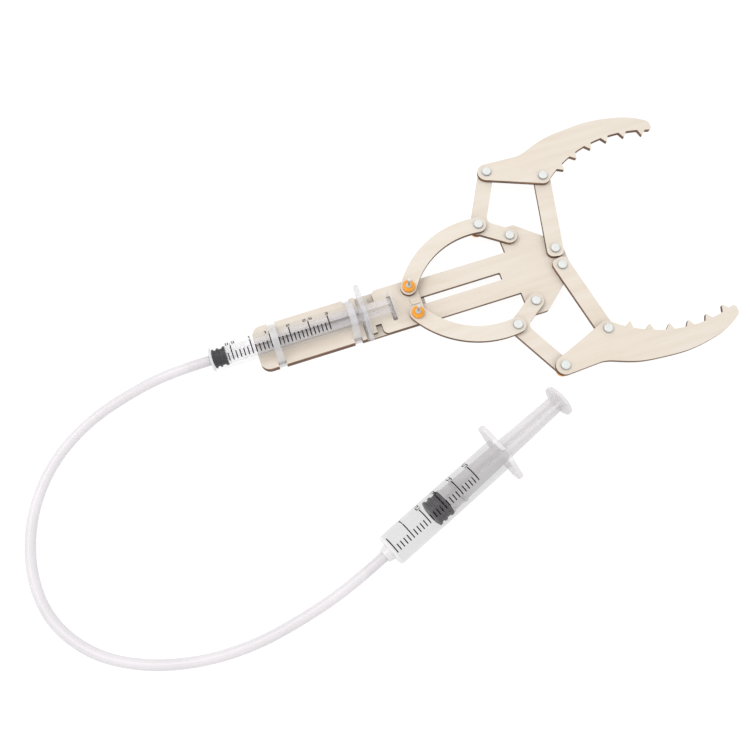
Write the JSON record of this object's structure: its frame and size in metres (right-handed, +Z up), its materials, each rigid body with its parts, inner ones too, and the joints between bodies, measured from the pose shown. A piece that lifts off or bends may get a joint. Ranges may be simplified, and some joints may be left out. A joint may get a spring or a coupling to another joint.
{
  "type": "hydraulic gripper arm kit",
  "caption": "Flat plywood gripper with toothed jaws on a crank linkage, driven by a strapped-on syringe that a second syringe pushes through a thin tube.",
  "frame": {"origin": "middle of the footprint of the arm and both syringes without the tube, on the surface that it lies on", "axes": "+X along the arm from the slave syringe to the jaw tips, +Y to the left jaw, +Z up out of the plywood sheets"},
  "size_m": [0.3237, 0.1799, 0.0188],
  "materials": {
    "plywood": "bare sanded basswood plywood, laser-cut edges burnt brown",
    "barrel_plastic": "translucent polypropylene",
    "plunger_plastic": "translucent milky polypropylene",
    "seal_rubber": "black rubber",
    "tube_plastic": "soft milky silicone tube",
    "tie_nylon": "translucent natural nylon",
    "pin_nylon": "white nylon",
    "cap_rubber": "soft orange rubber"
  },
  "bodies": {
    "root": {"base_plate": "plywood", "cradle_rail_left": "plywood", "cradle_rail_right": "plywood", "cable_tie_rear": "tie_nylon", "cable_tie_front": "tie_nylon", "crank_pivot_pins": "pin_nylon", "crank_pivot_caps": "cap_rubber", "link_pivot_pins": "pin_nylon", "link_pivot_caps": "cap_rubber", "slave_barrel": "barrel_plastic", "master_barrel": "barrel_plastic", "pressure_tube": "tube_plastic"},
    "carriage": {"slider_plate": "plywood", "slider_key": "plywood", "slider_keeper": "plywood", "slider_pins": "pin_nylon", "slider_caps": "cap_rubber", "slave_plunger": "plunger_plastic", "slave_seal": "seal_rubber"},
    "master_plunger": {"master_plunger": "plunger_plastic", "master_seal": "seal_rubber"},
    "crank_left": {"crank_left": "plywood", "elbow_tip_left": "pin_nylon", "elbow_cap_left": "cap_rubber", "jaw_rear_pin_left": "pin_nylon", "jaw_rear_cap_left": "cap_rubber"},
    "push_link_left": {"push_link_left": "plywood", "elbow_pin_left": "pin_nylon"},
    "front_link_left": {"front_link_left": "plywood", "jaw_front_tip_left": "pin_nylon", "jaw_front_cap_left": "cap_rubber"},
    "jaw_left": {"jaw_left": "plywood", "jaw_front_pin_left": "pin_nylon"},
    "crank_right": {"crank_right": "plywood", "elbow_tip_right": "pin_nylon", "elbow_cap_right": "cap_rubber", "jaw_rear_pin_right": "pin_nylon", "jaw_rear_cap_right": "cap_rubber"},
    "push_link_right": {"push_link_right": "plywood", "elbow_pin_right": "pin_nylon"},
    "front_link_right": {"front_link_right": "plywood", "jaw_front_tip_right": "pin_nylon", "jaw_front_cap_right": "cap_rubber"},
    "jaw_right": {"jaw_right": "plywood", "jaw_front_pin_right": "pin_nylon"}
  },
  "joints": [
    {"name": "master_push", "type": "slide", "parent": "root", "child": "master_plunger", "axis": [-0.9205, -0.3907, 0], "range_m": [0, 0.01049]},
    {"name": "carriage_slide", "type": "slide", "parent": "root", "child": "carriage", "axis": [1, 0, 0], "range_m": [0, 0.0209]},
    {"name": "crank_turn_left", "type": "hinge", "parent": "root", "child": "crank_left", "pos_m": [0.03608, 0.04066, 0.0067], "axis": [0, 0, 1], "range_deg": [-77.43, 0]},
    {"name": "push_link_turn_left", "type": "hinge", "parent": "carriage", "child": "push_link_left", "pos_m": [-0.01592, 0.03036, 0.0088], "axis": [0, 0, 1], "range_deg": [0, 7.62]},
    {"name": "front_link_turn_left", "type": "hinge", "parent": "root", "child": "front_link_left", "pos_m": [0.05348, 0.02826, 0.0067], "axis": [0, 0, 1], "range_deg": [-72.38, 0]},
    {"name": "jaw_turn_left", "type": "hinge", "parent": "crank_left", "child": "jaw_left", "pos_m": [0.03668, 0.07326, 0.0088], "axis": [0, 0, 1], "range_deg": [0, 64.15]},
    {"name": "crank_turn_right", "type": "hinge", "parent": "root", "child": "crank_right", "pos_m": [0.03608, 0.00726, 0.0067], "axis": [0, 0, 1], "range_deg": [0, 77.43]},
    {"name": "push_link_turn_right", "type": "hinge", "parent": "carriage", "child": "push_link_right", "pos_m": [-0.01592, 0.01756, 0.0088], "axis": [0, 0, 1], "range_deg": [-7.62, 0]},
    {"name": "front_link_turn_right", "type": "hinge", "parent": "root", "child": "front_link_right", "pos_m": [0.05348, 0.01966, 0.0067], "axis": [0, 0, 1], "range_deg": [0, 72.38]},
    {"name": "jaw_turn_right", "type": "hinge", "parent": "crank_right", "child": "jaw_right", "pos_m": [0.03668, -0.02534, 0.0088], "axis": [0, 0, 1], "range_deg": [-64.15, 0]}
  ],
  "couplings": [
    {"joint": "carriage_slide", "follows": "master_push", "ratio": 1.9931},
    {"joint": "crank_turn_left", "follows": "master_push", "rad_per_m": -128.86},
    {"joint": "push_link_turn_left", "follows": "master_push", "rad_per_m": 12.663},
    {"joint": "front_link_turn_left", "follows": "master_push", "rad_per_m": -120.46},
    {"joint": "jaw_turn_left", "follows": "master_push", "rad_per_m": 106.76},
    {"joint": "crank_turn_right", "follows": "master_push", "rad_per_m": 128.86},
    {"joint": "push_link_turn_right", "follows": "master_push", "rad_per_m": -12.663},
    {"joint": "front_link_turn_right", "follows": "master_push", "rad_per_m": 120.46},
    {"joint": "jaw_turn_right", "follows": "master_push", "rad_per_m": -106.76}
  ]
}
